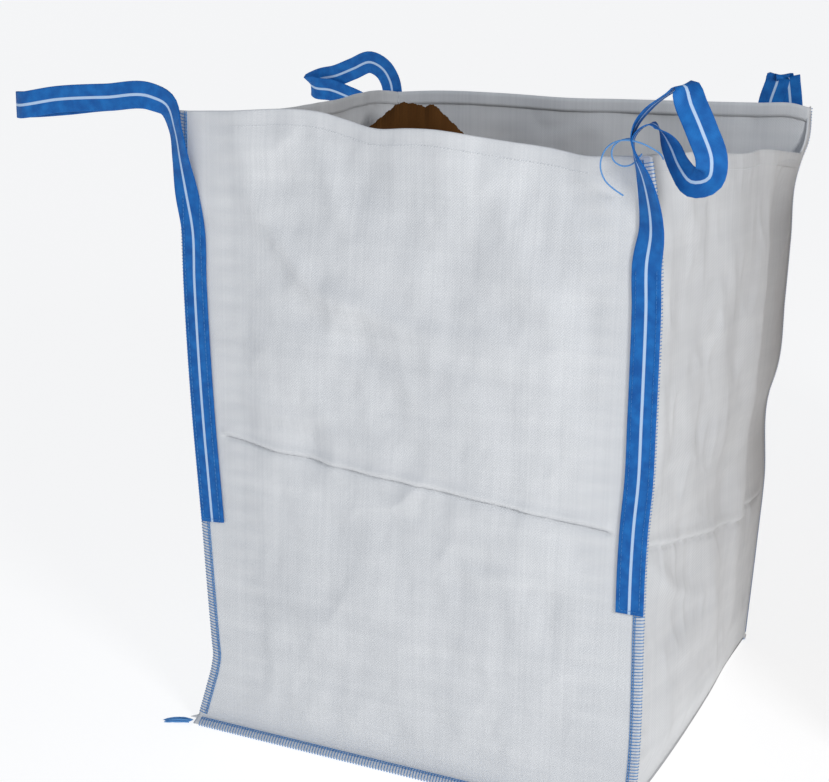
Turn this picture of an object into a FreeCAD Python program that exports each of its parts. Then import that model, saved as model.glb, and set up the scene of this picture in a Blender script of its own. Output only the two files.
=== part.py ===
import FreeCAD, Part
import math
import os
import re
import Sketcher
from FreeCAD import Vector

# An open-top bulk bag for loose material: five panels of woven cloth sewn with overlocked
# seams that stand outside, and four webbing lifting loops sewn on at the corners. It stands
# empty, held open by a folded board. Millimetres; origin on the floor at the middle of the
# base, X along the front panel, Y towards the back, Z up. Cloth and webbing are made a little
# thicker than they are, and layers lie one layer_gap apart.

doc = FreeCAD.newDocument("bulk_bag")

SIZES = [
    # the bag, measured over its seams
    ("width", 880, "between the left and right seam lines"),
    ("depth", 900, "over the front and back panels"),
    ("height", 1182, "floor to rim at three corners"),
    ("corner_lift", 28, "how much higher the front left corner is held"),
    ("rim_spread", 26, "how far each back corner is pushed out at the rim"),
    ("crease_drop", 612, "packing crease round the middle, below the rim"),
    ("crease_pinch", 8, "how far the corners draw in at the crease"),
    ("cloth", 1.6, "woven cloth"),
    ("layer_gap", 0.3, "clearance between sewn layers"),
    ("flange", 22, "seam allowance that stands outside"),
    ("belly", 36, "how far the empty side walls swell out at most"),
    ("belly_foot", 110, "where the swell has grown full above the floor"),
    ("belly_top", 282, "where it changes again, below the rim"),
    ("rim_sag", 70, "how far the right rim hangs below its corners"),
    ("front_slack", 18, "how far the slack front wall stands out between its straps"),
    # threads
    ("thread", 1.0, "overlock thread over the seam's edge"),
    ("overlock_width", 8, "reach of the overlock on each face"),
    ("hem_drop", 26, "hem stitching below the rim"),
    ("hem_line", 1.5, "height of the hem stitching"),
    ("stitch_thread", 0.7, "sewing thread of hems and straps"),
    ("stitch_inset", 7, "strap stitching from the webbing's edge"),
    # webbing
    ("strap_width", 50, "lifting webbing"),
    ("strap_thickness", 1.8, "lifting webbing"),
    ("strap_inset", 3, "from the seam's edge to the webbing"),
    ("sewn_length", 780, "webbing sewn to the bag below the rim"),
    ("neck_height", 76, "webbing that stands above the back right rim"),
    ("hanging_length", 280, "loop that hangs behind the back right corner"),
    ("loop_opening", 16, "space between the two runs of a flattened loop"),
    ("strap_lift", 25, "webbing above the hinge line of each loop"),
    ("lean_front_left", 36, "how far this strap's top leans outwards"),
    ("lean_front_right", -14, "this one leans inwards"),
    ("lean_back_left", 20, "outwards"),
    ("lean_back_right", -14, "inwards, outer leg"),
    ("fan_back_right", 36, "the inner leg lies this much further in"),
    ("lean_start", 150, "how far below the rim the straps start to lean"),
    # the board that holds the bag open
    ("board_thickness", 5, "corrugated board"),
    ("board_front", 230, "board's front face from the middle of the bag"),
    ("board_clearance", 15, "board's left edge from the left panel"),
    ("board_right", 150, "board's folded edge from the middle"),
    ("board_wing", 190, "wing folded back to make the board stand"),
    ("board_shoulder", 1080, "top of the board"),
    ("flap_height", 1188, "top of the board's flap"),
    ("flap_base_height", 1128, "where the flap's sloping ends start"),
    ("flap_width", 228, "flap along its foot"),
    ("flap_slope", 74, "length of each sloping end along the board"),
    # loose ends of overlock chain
    ("tail_diameter", 2.6, "loose chain of thread"),
]

sheet = doc.addObject("Spreadsheet::Sheet", "sizes")
for row, (name, value, meaning) in enumerate(SIZES, start=1):
    sheet.set(f"A{row}", name)
    sheet.set(f"B{row}", str(value))
    sheet.set(f"C{row}", meaning)
    sheet.setAlias(f"B{row}", name)
doc.recompute()

WORDS = re.compile(r"\b(" + "|".join(name for name, _, _ in SIZES) + r")\b")
NODES = []


def tied(text):
    """An expression in the sheet's own words, as other objects of the document read it."""
    return WORDS.sub(r"sizes.\1", text)


def size(text):
    """The value in millimetres of an expression in the sheet's words."""
    return float(sheet.evalExpression(tied(text)))


# ---------------------------------------------------------------- ways of making a sub-part

def new_body(label):
    """A body that becomes one node."""
    body = doc.addObject("PartDesign::Body", label)
    body.Label = label
    NODES.append(body)
    return body


def outline(body, plane, offset, corners):
    """A closed outline of straight sides in one of the body's planes, every corner tied."""
    sketch = body.newObject("Sketcher::SketchObject", body.Name + "_outline")
    support = [part for part in body.Origin.OriginFeatures if part.Role == plane][0]
    sketch.AttachmentSupport = [(support, "")]
    sketch.MapMode = "FlatFace"
    sketch.setExpression("AttachmentOffset.Base.z", tied(offset))
    places = [Vector(size(across), size(along), 0) for across, along in corners]
    for index, place in enumerate(places):
        sketch.addGeometry(Part.LineSegment(place, places[(index + 1) % len(places)]), False)
    for index in range(len(places)):
        sketch.addConstraint(Sketcher.Constraint("Coincident", index, 2, (index + 1) % len(places), 1))
    for index, (across, along) in enumerate(corners):
        for direction, text in (("DistanceX", across), ("DistanceY", along)):
            number = sketch.addConstraint(Sketcher.Constraint(direction, index, 1, size(text)))
            sketch.setExpression(f"Constraints[{number}]", tied(text))
    return sketch


def add_loft(body, plane, stations):
    """A straight-sided loft through outlines, each station an offset and its corners."""
    sketches = [outline(body, plane, offset, corners) for offset, corners in stations]
    loft = body.newObject("PartDesign::AdditiveLoft", body.Name + "_loft")
    loft.Profile = sketches[0]
    loft.Sections = sketches[1:]
    loft.Ruled = True
    body.Tip = loft
    return loft


def add_pad(body, plane, offset, corners, length, symmetric=False):
    """A flat piece of one thickness, either from its plane or to both sides of it."""
    pad = body.newObject("PartDesign::Pad", body.Name + "_pad")
    pad.Profile = outline(body, plane, offset, corners)
    pad.setExpression("Length", tied(length))
    if symmetric:
        pad.SideType = "Symmetric"
    body.Tip = pad
    return pad


def cut_above(body, plane, corners):
    """Takes away what lies inside an outline, right through the body."""
    pocket = body.newObject("PartDesign::Pocket", body.Name + "_rim")
    pocket.Profile = outline(body, plane, "0 * width", corners)
    pocket.Type = "ThroughAll"
    pocket.SideType = "Symmetric"
    body.Tip = pocket
    return pocket


def new_feature(label, shape):
    """A sub-part whose shape is a free form that sketches do not suit."""
    feature = doc.addObject("Part::Feature", label)
    feature.Label = label
    feature.Shape = shape
    NODES.append(feature)
    return feature


# ---------------------------------------------------------------- seam lines of the bag

SEAT = "cloth + layer_gap"
FRONT_LEFT_TOP = "height + corner_lift"
CREASE = "(height - crease_drop)"
HALF_FLOOR = "width / 2"
HALF_CREASE = "width / 2 - crease_pinch"
HALF_FRONT_RIM = "width / 2"
HALF_BACK_RIM = "width / 2 + rim_spread"
INNER_FACE = "depth / 2 - cloth - layer_gap"


def signed(sign, text):
    """The expression, or its negative for the left or front side."""
    return f"({text})" if sign > 0 else f"-({text})"


# The slack front wall stands out between its straps: shares of the slack at places across it,
# and at levels as shares of the way from the floor to the crease, then on to the hem.
SLACK_PLACES = (-0.8, -0.62, -0.2, 0.2, 0.62, 0.8)
SLACK_BELOW = ((0.2, (0, 0.35, 0.5, 0.45, 0.3, 0)), (0.6, (0, 0.5, 1, 0.6, 0.55, 0)),
               (1, (0, 0.45, 0.5, 0.7, 0.4, 0)))
SLACK_ABOVE = ((0.36, (0, 0.9, 0.5, 1, 0.5, 0)), (0.7, (0, 0.4, 0.9, 0.4, 0.7, 0)),
               (1, (0, 0, 0, 0, 0, 0)))
TIGHT = (0, 0, 0, 0, 0, 0)


def slack_levels(half_rim, top):
    """The levels of the slack front wall: height, half its width and shares of slack."""
    hem = "height - 2 * hem_drop"
    rise = f"({half_rim} - ({HALF_CREASE}))"
    levels = [(SEAT, HALF_FLOOR, TIGHT)]
    for share, slack in SLACK_BELOW:
        levels.append((f"{CREASE} * {share}", f"width / 2 - crease_pinch * {share}", slack))
    for share, slack in SLACK_ABOVE:
        level = f"({CREASE} + ({hem} - {CREASE}) * {share})"
        half = f"{HALF_CREASE} + {rise} * ({level} - {CREASE}) / ({top} - {CREASE})"
        levels.append((level, half, slack))
    return (*levels, (top, half_rim, TIGHT))


def tight_levels(half_rim, top):
    """The levels of a flat wall: foot, crease and rim."""
    return ((SEAT, HALF_FLOOR, ()), (CREASE, HALF_CREASE, ()), (top, half_rim, ()))


def upright_panel(label, front_or_back, levels):
    """A front or back panel: a wall as wide as the bag and both its seam flanges."""
    body = new_body(label)
    inner = signed(front_or_back, "depth / 2 - cloth")
    stations = []
    for level, half, slack in levels:
        reach = f"{half} + flange"
        corners = []
        for face in ("depth / 2", "depth / 2 - cloth"):
            side = [(f"({half}) * {share}", signed(front_or_back, f"{face} + front_slack * {part}"))
                    for share, part in zip(SLACK_PLACES, slack)]
            flat = signed(front_or_back, face)
            row = [(f"-({reach})", flat), *side, (reach, flat)]
            corners += row if not corners else row[::-1]
        stations.append((level, corners))
    add_loft(body, "XY_Plane", stations)
    lip_edge = signed(front_or_back, "depth / 2 + flange")
    reach = "width / 2 + flange"
    lip = [(f"-({reach})", lip_edge), (reach, lip_edge), (reach, inner), (f"-({reach})", inner)]
    add_pad(body, "XY_Plane", SEAT, lip, "cloth")
    return body


# Swell of the side walls as shares of the belly, at five places from front to back and at
# three levels: above the foot, at the crease and near the rim, then at the rim itself.
BELLY_PLACES = (-0.56, 0, 0.31, 0.56, 0.76)
BELLY_RIGHT = ((0.6, 0.9, 0.8, 0.3, 0.33), (0.28, 0.68, 0.94, 0.12, 0.4),
               (0.33, 0.72, 1, 0.12, 0.44), (0.33, 0.56, 0.72, 0.4, 0.6))
BELLY_LEFT = ((0.25, 0.36, 0.36, 0.5, 0.3), (0.3, 0.45, 0.45, 0.65, 0.4),
              (0.3, 0.45, 0.45, 0.65, 0.4), (0.25, 0.36, 0.36, 0.5, 0.3))
BELLIES = {1: BELLY_RIGHT, -1: BELLY_LEFT}
FLAT = (0, 0, 0, 0, 0)
END_SHARE = 0.95


def wall_levels(side, top):
    """The levels of a side wall: height, front seam, back seam and swell at each."""
    foot, middle, upper, rim = BELLIES[side]
    pinch = f"width / 2 - crease_pinch * belly_foot / {CREASE}"
    share = f"(({top} - belly_top - {CREASE}) / ({top} - {CREASE}))"
    front = f"({HALF_CREASE} + crease_pinch * {share})"
    return ((SEAT, HALF_FLOOR, HALF_FLOOR, FLAT), ("belly_foot", pinch, pinch, foot),
            (CREASE, HALF_CREASE, HALF_CREASE, middle),
            (f"{top} - belly_top", front, f"({front} + rim_spread * {share})", upper),
            (top, HALF_FRONT_RIM, HALF_BACK_RIM, rim))


def wall_face(side, front, back, swell, skin, to_ends=False):
    """Places on a side wall's outer face from front to back, set back or out by a skin."""
    rows = list(zip(BELLY_PLACES, swell))
    if to_ends:
        first = (1 - END_SHARE) / (1 + BELLY_PLACES[0]) * swell[0]
        last = (1 - END_SHARE) / (1 - BELLY_PLACES[-1]) * swell[-1]
        rows = [(-END_SHARE, first), *rows, (END_SHARE, last)]
    places = []
    for share, part in rows:
        half = f"({front}) + (({back}) - ({front})) * {(1 + share) / 2} + belly * {part} + {skin}"
        places.append((signed(side, half), f"({INNER_FACE} - cloth) * {share}"))
    return places


def side_panel(label, side, top):
    """A left or right panel: a swelling wall whose upright edges turn out as seam flanges."""
    body = new_body(label)
    stations = []
    for level, front, back, swell in wall_levels(side, top):
        corners = [
            (signed(side, f"{front} - cloth"), f"-({INNER_FACE})"),
            (signed(side, f"{front} + flange"), f"-({INNER_FACE})"),
            (signed(side, f"{front} + flange"), f"-({INNER_FACE} - cloth)"),
            (signed(side, front), f"-({INNER_FACE} - cloth)"),
            *wall_face(side, front, back, swell, "0 * cloth"),
            (signed(side, back), f"{INNER_FACE} - cloth"),
            (signed(side, f"{back} + flange"), f"{INNER_FACE} - cloth"),
            (signed(side, f"{back} + flange"), INNER_FACE),
            (signed(side, f"{back} - cloth"), INNER_FACE),
            *wall_face(side, front, back, swell, "-1 * cloth")[::-1],
        ]
        stations.append((level, corners))
    add_loft(body, "XY_Plane", stations)
    inner = signed(side, "width / 2 - cloth")
    edge = signed(side, "width / 2 + flange")
    lip = [(inner, f"-({INNER_FACE})"), (edge, f"-({INNER_FACE})"), (edge, INNER_FACE),
           (inner, INNER_FACE)]
    add_pad(body, "XY_Plane", SEAT, lip, "cloth")
    return body


# The right rim hangs more and more towards the back, then climbs to its corner.
SAG = ((-1.2, 0), (-0.9, 0), (-0.5, 0.15), (0.04, 0.46), (0.34, 0.54), (0.6, 0.77), (0.82, 0.95),
       (0.9, 1), (0.97, 0.4), (0.985, 0), (1.2, 0))


def sagging_rim(drop):
    """The right rim as places along the wall and heights, lowered by a drop."""
    return [(f"({INNER_FACE}) * {share}", f"height - rim_sag * {part} - {drop}")
            for share, part in SAG]


def slope_rim(body, plane, half_length, low_side):
    """Cuts the rim on a slope, from the lifted front left corner down to the other corner."""
    left_top = FRONT_LEFT_TOP if low_side > 0 else "height"
    right_top = "height" if low_side > 0 else FRONT_LEFT_TOP
    reach = f"{half_length} + 2 * flange"
    above = "height + 2 * corner_lift"
    cut_above(body, plane, [(f"-({reach})", left_top), (reach, right_top), (reach, above),
                            (f"-({reach})", above)])


front_panel = upright_panel("front_panel", -1, slack_levels(HALF_FRONT_RIM, FRONT_LEFT_TOP))
slope_rim(front_panel, "XZ_Plane", "width / 2", 1)
back_panel = upright_panel("back_panel", 1, tight_levels(HALF_BACK_RIM, "height"))
right_panel = side_panel("right_panel", 1, "height")
ABOVE = "height + 2 * corner_lift"
BELOW = "height - 2 * belly_top"
FAR = f"({INNER_FACE}) * 1.2"
cut_above(right_panel, "YZ_Plane", [*sagging_rim("0 * cloth"), (FAR, ABOVE), (f"-({FAR})", ABOVE)])
left_panel = side_panel("left_panel", -1, FRONT_LEFT_TOP)
slope_rim(left_panel, "YZ_Plane", "depth / 2", 1)

base_panel = new_body("base_panel")
BASE_X = "width / 2 + flange"
BASE_Y = "depth / 2 + flange"
add_pad(base_panel, "XY_Plane", "0 * width",
        [(f"-({BASE_X})", f"-({BASE_Y})"), (BASE_X, f"-({BASE_Y})"), (BASE_X, BASE_Y),
         (f"-({BASE_X})", BASE_Y)], "cloth")

# ---------------------------------------------------------------- overlock threads

# Each sleeve of thread wraps the two layers of one seam, open towards the bag.
for name, side, end, half_rim, top in (
        ("front_left", -1, -1, HALF_FRONT_RIM, FRONT_LEFT_TOP),
        ("front_right", 1, -1, HALF_FRONT_RIM, "height"),
        ("back_left", -1, 1, HALF_BACK_RIM, "height"),
        ("back_right", 1, 1, HALF_BACK_RIM, "height")):
    stations = []
    for level, half in (("2 * cloth + 2 * layer_gap", HALF_FLOOR), (CREASE, HALF_CREASE),
                        (top, half_rim)):
        reach = signed(side, f"{half} + flange - overlock_width")
        edge_inside = signed(side, f"{half} + flange + layer_gap")
        edge_outside = signed(side, f"{half} + flange + layer_gap + thread")
        face = signed(end, "depth / 2 + layer_gap")
        face_outside = signed(end, "depth / 2 + layer_gap + thread")
        behind = signed(end, "depth / 2 - 2 * cloth - 2 * layer_gap")
        behind_outside = signed(end, "depth / 2 - 2 * cloth - 2 * layer_gap - thread")
        stations.append((level, [
            (reach, face_outside), (edge_outside, face_outside), (edge_outside, behind_outside),
            (reach, behind_outside), (reach, behind), (edge_inside, behind),
            (edge_inside, face), (reach, face)]))
    add_loft(new_body(f"overlock_{name}"), "XY_Plane", stations)

# Round the base the thread covers the edge and the upper face, down to the floor.
LIP_TOP = "2 * cloth + 2 * layer_gap"
SIDE_RUN = "2 * (depth / 2 - 2 * cloth - 3 * layer_gap - thread)"
for name, plane, side, half, run in (
        ("front", "YZ_Plane", -1, "depth / 2 + flange", "width + 2 * flange"),
        ("back", "YZ_Plane", 1, "depth / 2 + flange", "width + 2 * flange"),
        ("left", "XZ_Plane", -1, "width / 2 + flange", SIDE_RUN),
        ("right", "XZ_Plane", 1, "width / 2 + flange", SIDE_RUN)):
    edge = signed(side, f"{half} + layer_gap")
    edge_outside = signed(side, f"{half} + layer_gap + thread")
    reach = signed(side, f"{half} - overlock_width")
    add_pad(new_body(f"overlock_base_{name}"), plane, "0 * width", [
        (edge_outside, "0 * width"), (edge, "0 * width"), (edge, LIP_TOP), (reach, LIP_TOP),
        (reach, f"{LIP_TOP} + thread"), (edge_outside, f"{LIP_TOP} + thread")], run, True)

# ---------------------------------------------------------------- hem stitching

# One line of stitching holds each panel's hem.
HEM_REACH = "width / 2 - strap_width - 2 * flange"
for name, end, left_top in (("front", -1, FRONT_LEFT_TOP), ("back", 1, "height")):
    start = "depth / 2 + layer_gap" if end < 0 else "-(depth / 2 + layer_gap + stitch_thread)"
    add_pad(new_body(f"hem_stitching_{name}"), "XZ_Plane", start, [
        (f"-({HEM_REACH})", f"{left_top} - hem_drop"), (HEM_REACH, "height - hem_drop"),
        (HEM_REACH, "height - hem_drop - hem_line"),
        (f"-({HEM_REACH})", f"{left_top} - hem_drop - hem_line")], "stitch_thread")


def sloping_rim(drop):
    """The left rim from its lifted front corner, lowered by a drop."""
    return [(f"-({FAR})", f"{FRONT_LEFT_TOP} - {drop}"), (FAR, f"height - {drop}")]


for name, side, top, rim in (("left", -1, FRONT_LEFT_TOP, sloping_rim),
                             ("right", 1, "height", sagging_rim)):
    body = new_body(f"hem_stitching_{name}")
    stations = []
    for level, front, back, swell in wall_levels(side, top)[3:]:
        near = wall_face(side, front, back, swell, "layer_gap", True)
        far = wall_face(side, front, back, swell, "layer_gap + stitch_thread", True)
        stations.append((level, near + far[::-1]))
    add_loft(body, "XY_Plane", stations)
    cut_above(body, "YZ_Plane", [*rim("hem_drop"), (FAR, ABOVE), (f"-({FAR})", ABOVE)])
    cut_above(body, "YZ_Plane", [*rim("(hem_drop + hem_line)"), (FAR, BELOW), (f"-({FAR})", BELOW)])

# ---------------------------------------------------------------- webbing sewn to the bag

STRAP_WIDTH = size("strap_width")
STRAP_THICKNESS = size("strap_thickness")
LAYER = STRAP_THICKNESS + size("layer_gap")
FIRST_LAYER = size("depth / 2 + 2 * layer_gap + thread + strap_thickness / 2")
ACROSS_X = Vector(1, 0, 0)
ACROSS_Z = Vector(0, 0, 1)


def triangles(corners):
    """A four-cornered side of webbing, which may be twisted, as two flat triangles."""
    first, second, third, fourth = corners
    return [Part.Face(Part.makePolygon([first, second, third, first])),
            Part.Face(Part.makePolygon([first, third, fourth, first]))]


def strap_solid(route):
    """Flat webbing along a route of (middle, direction across, share of the full width)."""
    sections = []
    for index, (middle, across, share) in enumerate(route):
        before = route[max(index - 1, 0)][0]
        after = route[min(index + 1, len(route) - 1)][0]
        heading = (after - before).normalize()
        facing = heading.cross(across).normalize()
        across = facing.cross(heading).normalize()
        side = across * (STRAP_WIDTH * share / 2)
        face = facing * (STRAP_THICKNESS / 2)
        sections.append([middle + side + face, middle - side + face, middle - side - face,
                         middle + side - face])
    faces = triangles(sections[0]) + triangles(sections[-1][::-1])
    for near, far in zip(sections, sections[1:]):
        # both broad faces fold along the same diagonal, so a twist keeps its thickness
        faces += triangles([near[1], near[0], far[0], far[1]])
        faces += triangles([near[2], far[2], far[3], near[3]])
        faces += triangles([near[2], near[1], far[1], far[2]])
        faces += triangles([near[0], near[3], far[3], far[0]])
    skin = Part.Shell(faces)
    skin.sewShape()
    solid = Part.Solid(skin)
    if solid.Volume < 0:
        solid.reverse()
    return solid


def rounded_end(route):
    """Two narrowing stations that round off the webbing beyond the last one of a route."""
    middle, across, _ = route[-1]
    heading = (middle - route[-2][0])
    heading.y = 0
    heading.normalize()
    return [(middle + heading * (STRAP_WIDTH * 0.35), across, 0.7),
            (middle + heading * (STRAP_WIDTH * 0.49), across, 0.25)]


def strap_middle(level, half_rim, top):
    """How far the middle of a strap is from the middle of the bag, before it leans."""
    crease = size(CREASE)
    if level < crease:
        half = size(HALF_FLOOR) - size("crease_pinch") * level / crease
    else:
        share = (level - crease) / (size(top) - crease)
        half = size(HALF_CREASE) + (size(half_rim) - size(HALF_CREASE)) * share
    return half + size("flange - strap_inset - strap_width / 2")


def leg_route(side, end, half_rim, top, lean, layer, above):
    """The upright run of a strap leg: sewn foot, crease, start of the lean, and its top."""
    depth_place = end * (FIRST_LAYER + layer * LAYER)
    rim = size(top)
    foot = rim - size("sewn_length")
    route = []
    for level, shift in ((foot, 0), (size(CREASE), 0), (rim - size("lean_start"), 0),
                         (rim, lean), (rim + above, lean)):
        across = side * (strap_middle(min(level, rim), half_rim, top) + shift)
        route.append((Vector(across, depth_place, level), ACROSS_X, 1))
    return route


CORNERS = (
    ("front_left", -1, -1, HALF_FRONT_RIM, FRONT_LEFT_TOP, "lean_front_left"),
    ("front_right", 1, -1, HALF_FRONT_RIM, "height", "lean_front_right"),
    ("back_left", -1, 1, HALF_BACK_RIM, "height", "lean_back_left"),
    ("back_right", 1, 1, HALF_BACK_RIM, "height", "lean_back_right"),
)
HINGES = {}
for name, side, end, half_rim, top, lean in CORNERS:
    above = size("strap_lift")
    inner_lean = size(lean)
    if name == "back_right":
        above = size("neck_height")
        inner_lean = size(lean) - size("fan_back_right")
    inner = leg_route(side, end, half_rim, top, inner_lean, 0, above)
    outer = leg_route(side, end, half_rim, top, size(lean), 1, above)
    if name == "back_right":
        gathered = (inner[-1][0].x + outer[-1][0].x) / 2
        for route in (inner, outer):
            route[-1][0].x = gathered
    new_feature(f"strap_{name}_inner_leg", strap_solid(inner))
    new_feature(f"strap_{name}_outer_leg", strap_solid(outer))
    HINGES[name] = outer[-1][0] - Vector(0, 0, above)

# Two rows of stitching and a cross row at the foot hold each pair of legs.
for name, side, end, half_rim, top, lean in CORNERS:
    face = FIRST_LAYER + LAYER + STRAP_THICKNESS / 2 + size("layer_gap + stitch_thread / 2")
    inset = STRAP_WIDTH / 2 - size("stitch_inset")
    rim = size(top)
    foot = rim - size("sewn_length - stitch_inset")
    levels = [foot, size(CREASE), rim - size("lean_start")]
    middles = [side * strap_middle(level, half_rim, top) for level in levels]
    line = size("hem_line")
    left = [Vector(x - inset, 0, z) for x, z in zip(middles, levels)]
    right = [Vector(x + inset, 0, z) for x, z in zip(middles, levels)]
    left_in = [place + Vector(line, 0, line if place is left[0] else 0) for place in left]
    right_in = [place + Vector(-line, 0, line if place is right[0] else 0) for place in right]
    ring = left[::-1] + right + right_in[::-1] + left_in
    row = Part.Face(Part.makePolygon(ring + ring[:1]))
    row.translate(Vector(0, end * face - size("stitch_thread") / 2, 0))
    stitching = row.extrude(Vector(0, size("stitch_thread"), 0))
    new_feature(f"strap_{name}_stitching", stitching)

# ---------------------------------------------------------------- free lifting loops

INNER_RUN = FIRST_LAYER + 2 * LAYER
OUTER_RUN = FIRST_LAYER + 3 * LAYER
OPENING = size("loop_opening")


def loop_route(hinge, end, stations):
    """Stations given from the hinge: across, distance behind the first run, up, direction."""
    start = Vector(hinge.x, end * OUTER_RUN, hinge.z)
    return [(start + Vector(x, end * y, z), Vector(*across), 1) for x, y, z, across in stations]


def swinging_loop(name, end, stations):
    """A loop that swings in the plane of its strap, with both runs rounded at the root."""
    route = loop_route(HINGES[name], end, stations)
    route = rounded_end(route[::-1])[::-1] + route + rounded_end(route)
    new_feature(f"loop_{name}", strap_solid(route))


# The front left loop is turned over the corner and reaches out level, flattened.
swinging_loop("front_left", -1, [
    (0, 0, 0, (1, 0, 0)),
    (-20, 1, 16, (0.7, 0, 0.7)),
    (-45, 3, 28, (0, 0, 1)),
    (-141, 8, 22, (0, 0, 1)),
    (-250, 12, 12, (0, 0, 1)),
    (-342, OPENING - LAYER, -3, (0, 0, 1)),
    (-352, OPENING / 2 - LAYER, -3, (0, 0, 1)),
    (-342, -LAYER, -3, (0, 0, 1)),
    (-250, -LAYER, 6, (0, 0, 1)),
    (-141, -LAYER, 20, (0, 0, 1)),
    (-45, -LAYER, 27, (0, 0, 1)),
    (-20, -LAYER, 16, (0.7, 0, 0.7)),
    (0, -LAYER, 0, (1, 0, 0)),
])

# The front right loop rises from a twisted neck, folds over and falls outside the corner.
swinging_loop("front_right", -1, [
    (0, 0, 0, (1, 0, 0)),
    (-3, 0, 35, (1, 0, 0)),
    (-5, 1, 47, (0.75, -0.65, 0)),
    (-3, 2, 59, (0, -1, 0)),
    (12, 2, 74, (0, -1, 0)),
    (50, 3, 108, (0, -1, 0)),
    (70, 5, 120, (-0.5, -0.8, -0.2)),
    (86, 12, 92, (-0.89, -0.31, -0.33)),
    (107, 16, 53, (-0.89, -0.31, -0.33)),
    (126, 16, 4, (-0.93, -0.2, -0.3)),
    (122, 10, -20, (-0.5, -0.1, 0.85)),
    (90, 0, -30, (0, 0, 1)),
    (66, -8, -7, (0.5, -0.4, 0.75)),
    (50, -8, 24, (0.7, -0.6, 0.35)),
    (36, -4, 46, (0.5, -0.85, 0)),
    (22, 1, 57, (0, -1, 0)),
    (10, 1, 56, (0.1, -1, 0)),
    (4, -1, 47, (0.75, -0.65, 0)),
    (1, -LAYER, 35, (1, 0, 0)),
    (0, -LAYER, 0, (1, 0, 0)),
])

# The back left loop arches over outwards and comes back under itself.
swinging_loop("back_left", 1, [
    (0, 0, 0, (1, 0, 0)),
    (-8, 0, 40, (0.95, 0, 0.3)),
    (-32, 1, 63, (0.5, 0, 0.85)),
    (-70, 3, 71, (0.05, 0, 1)),
    (-140, 7, 60, (-0.2, 0, 1)),
    (-216, OPENING - LAYER, 14, (-0.4, 0, 0.9)),
    (-226, OPENING / 2 - LAYER, 10, (-0.4, 0, 0.9)),
    (-216, -LAYER, 14, (-0.4, 0, 0.9)),
    (-140, -LAYER, -6, (-0.1, 0, 1)),
    (-60, -LAYER, -10, (0.05, 0, 1)),
    (0, -LAYER, 0, (0.1, 0, 1)),
])

# The back right loop folds over the top of its neck and hangs behind the bag.
CLEAR = size("stitch_thread + 2 * layer_gap")
fold = Vector(gathered, FIRST_LAYER + 2.5 * LAYER + CLEAR,
              HINGES["back_right"].z + size("neck_height"))
HANG = size("hanging_length")
new_feature("loop_back_right", strap_solid([
    (fold + Vector(0, -LAYER / 2, 0), ACROSS_X, 1),
    (fold + Vector(2, -LAYER / 2, -HANG / 2), ACROSS_X, 1),
    (fold + Vector(4, -LAYER / 2, -HANG + 10), ACROSS_X, 1),
    (fold + Vector(4, OPENING / 2 - LAYER / 2, -HANG), ACROSS_X, 1),
    (fold + Vector(4, OPENING - LAYER / 2, -HANG + 10), ACROSS_X, 1),
    (fold + Vector(2, OPENING - LAYER, -HANG / 2), ACROSS_X, 1),
    (fold + Vector(0, LAYER / 2, 0), ACROSS_X, 1),
]))

# ---------------------------------------------------------------- board that props the bag

board = new_body("cardboard_prop")
BOARD_FOOT = "cloth + layer_gap"
BOARD_LEFT = "board_clearance - width / 2"
add_pad(board, "XZ_Plane", "-(board_front + board_thickness)", [
    (BOARD_LEFT, BOARD_FOOT), ("board_right", BOARD_FOOT), ("board_right", "board_shoulder"),
    (f"{BOARD_LEFT} + flap_width", "board_shoulder"),
    (f"{BOARD_LEFT} + flap_width", "flap_base_height"),
    (f"{BOARD_LEFT} + flap_width - flap_slope", "flap_height"),
    (f"{BOARD_LEFT} + flap_slope", "flap_height"), (BOARD_LEFT, "flap_base_height")],
    "board_thickness")
add_pad(board, "XY_Plane", BOARD_FOOT, [
    ("board_right - board_thickness", "board_front"), ("board_right", "board_front"),
    ("board_right", "board_front + board_wing"),
    ("board_right - board_thickness", "board_front + board_wing")], f"board_shoulder - ({BOARD_FOOT})")

# ---------------------------------------------------------------- loose thread ends

TAIL = size("tail_diameter")


def tube(label, corner, route):
    """A round cord along straight runs joined by tangent arcs as large as the runs allow.

    The route is measured from a corner of the bag.
    """
    places = [corner + Vector(*place) for place in route]
    edges = []
    start = places[0]
    for index in range(1, len(places) - 1):
        corner = places[index]
        back = places[index - 1] - corner
        ahead = places[index + 1] - corner
        half_turn = (math.pi - back.getAngle(ahead)) / 2
        reach = 0.45 * min(back.Length, ahead.Length)
        back.normalize()
        ahead.normalize()
        into = corner + back * reach
        out = corner + ahead * reach
        radius = reach / math.tan(half_turn)
        bisector = (back + ahead).normalize()
        middle = corner + bisector * (radius / math.cos(half_turn) - radius)
        print(label, "arc radius", round(radius, 1))
        edges.append(Part.LineSegment(start, into).toShape())
        edges.append(Part.Arc(into, middle, out).toShape())
        start = out
    edges.append(Part.LineSegment(start, places[-1]).toShape())
    path = Part.Wire(edges)
    section = Part.Wire(Part.makeCircle(TAIL / 2, places[0], places[1] - places[0]))
    solid = path.makePipeShell([section], True, True)
    print(label, "length", round(path.Length, 1), "volume ratio",
          round(solid.Volume / (math.pi * TAIL ** 2 / 4 * path.Length), 4))
    return new_feature(label, solid)


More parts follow.
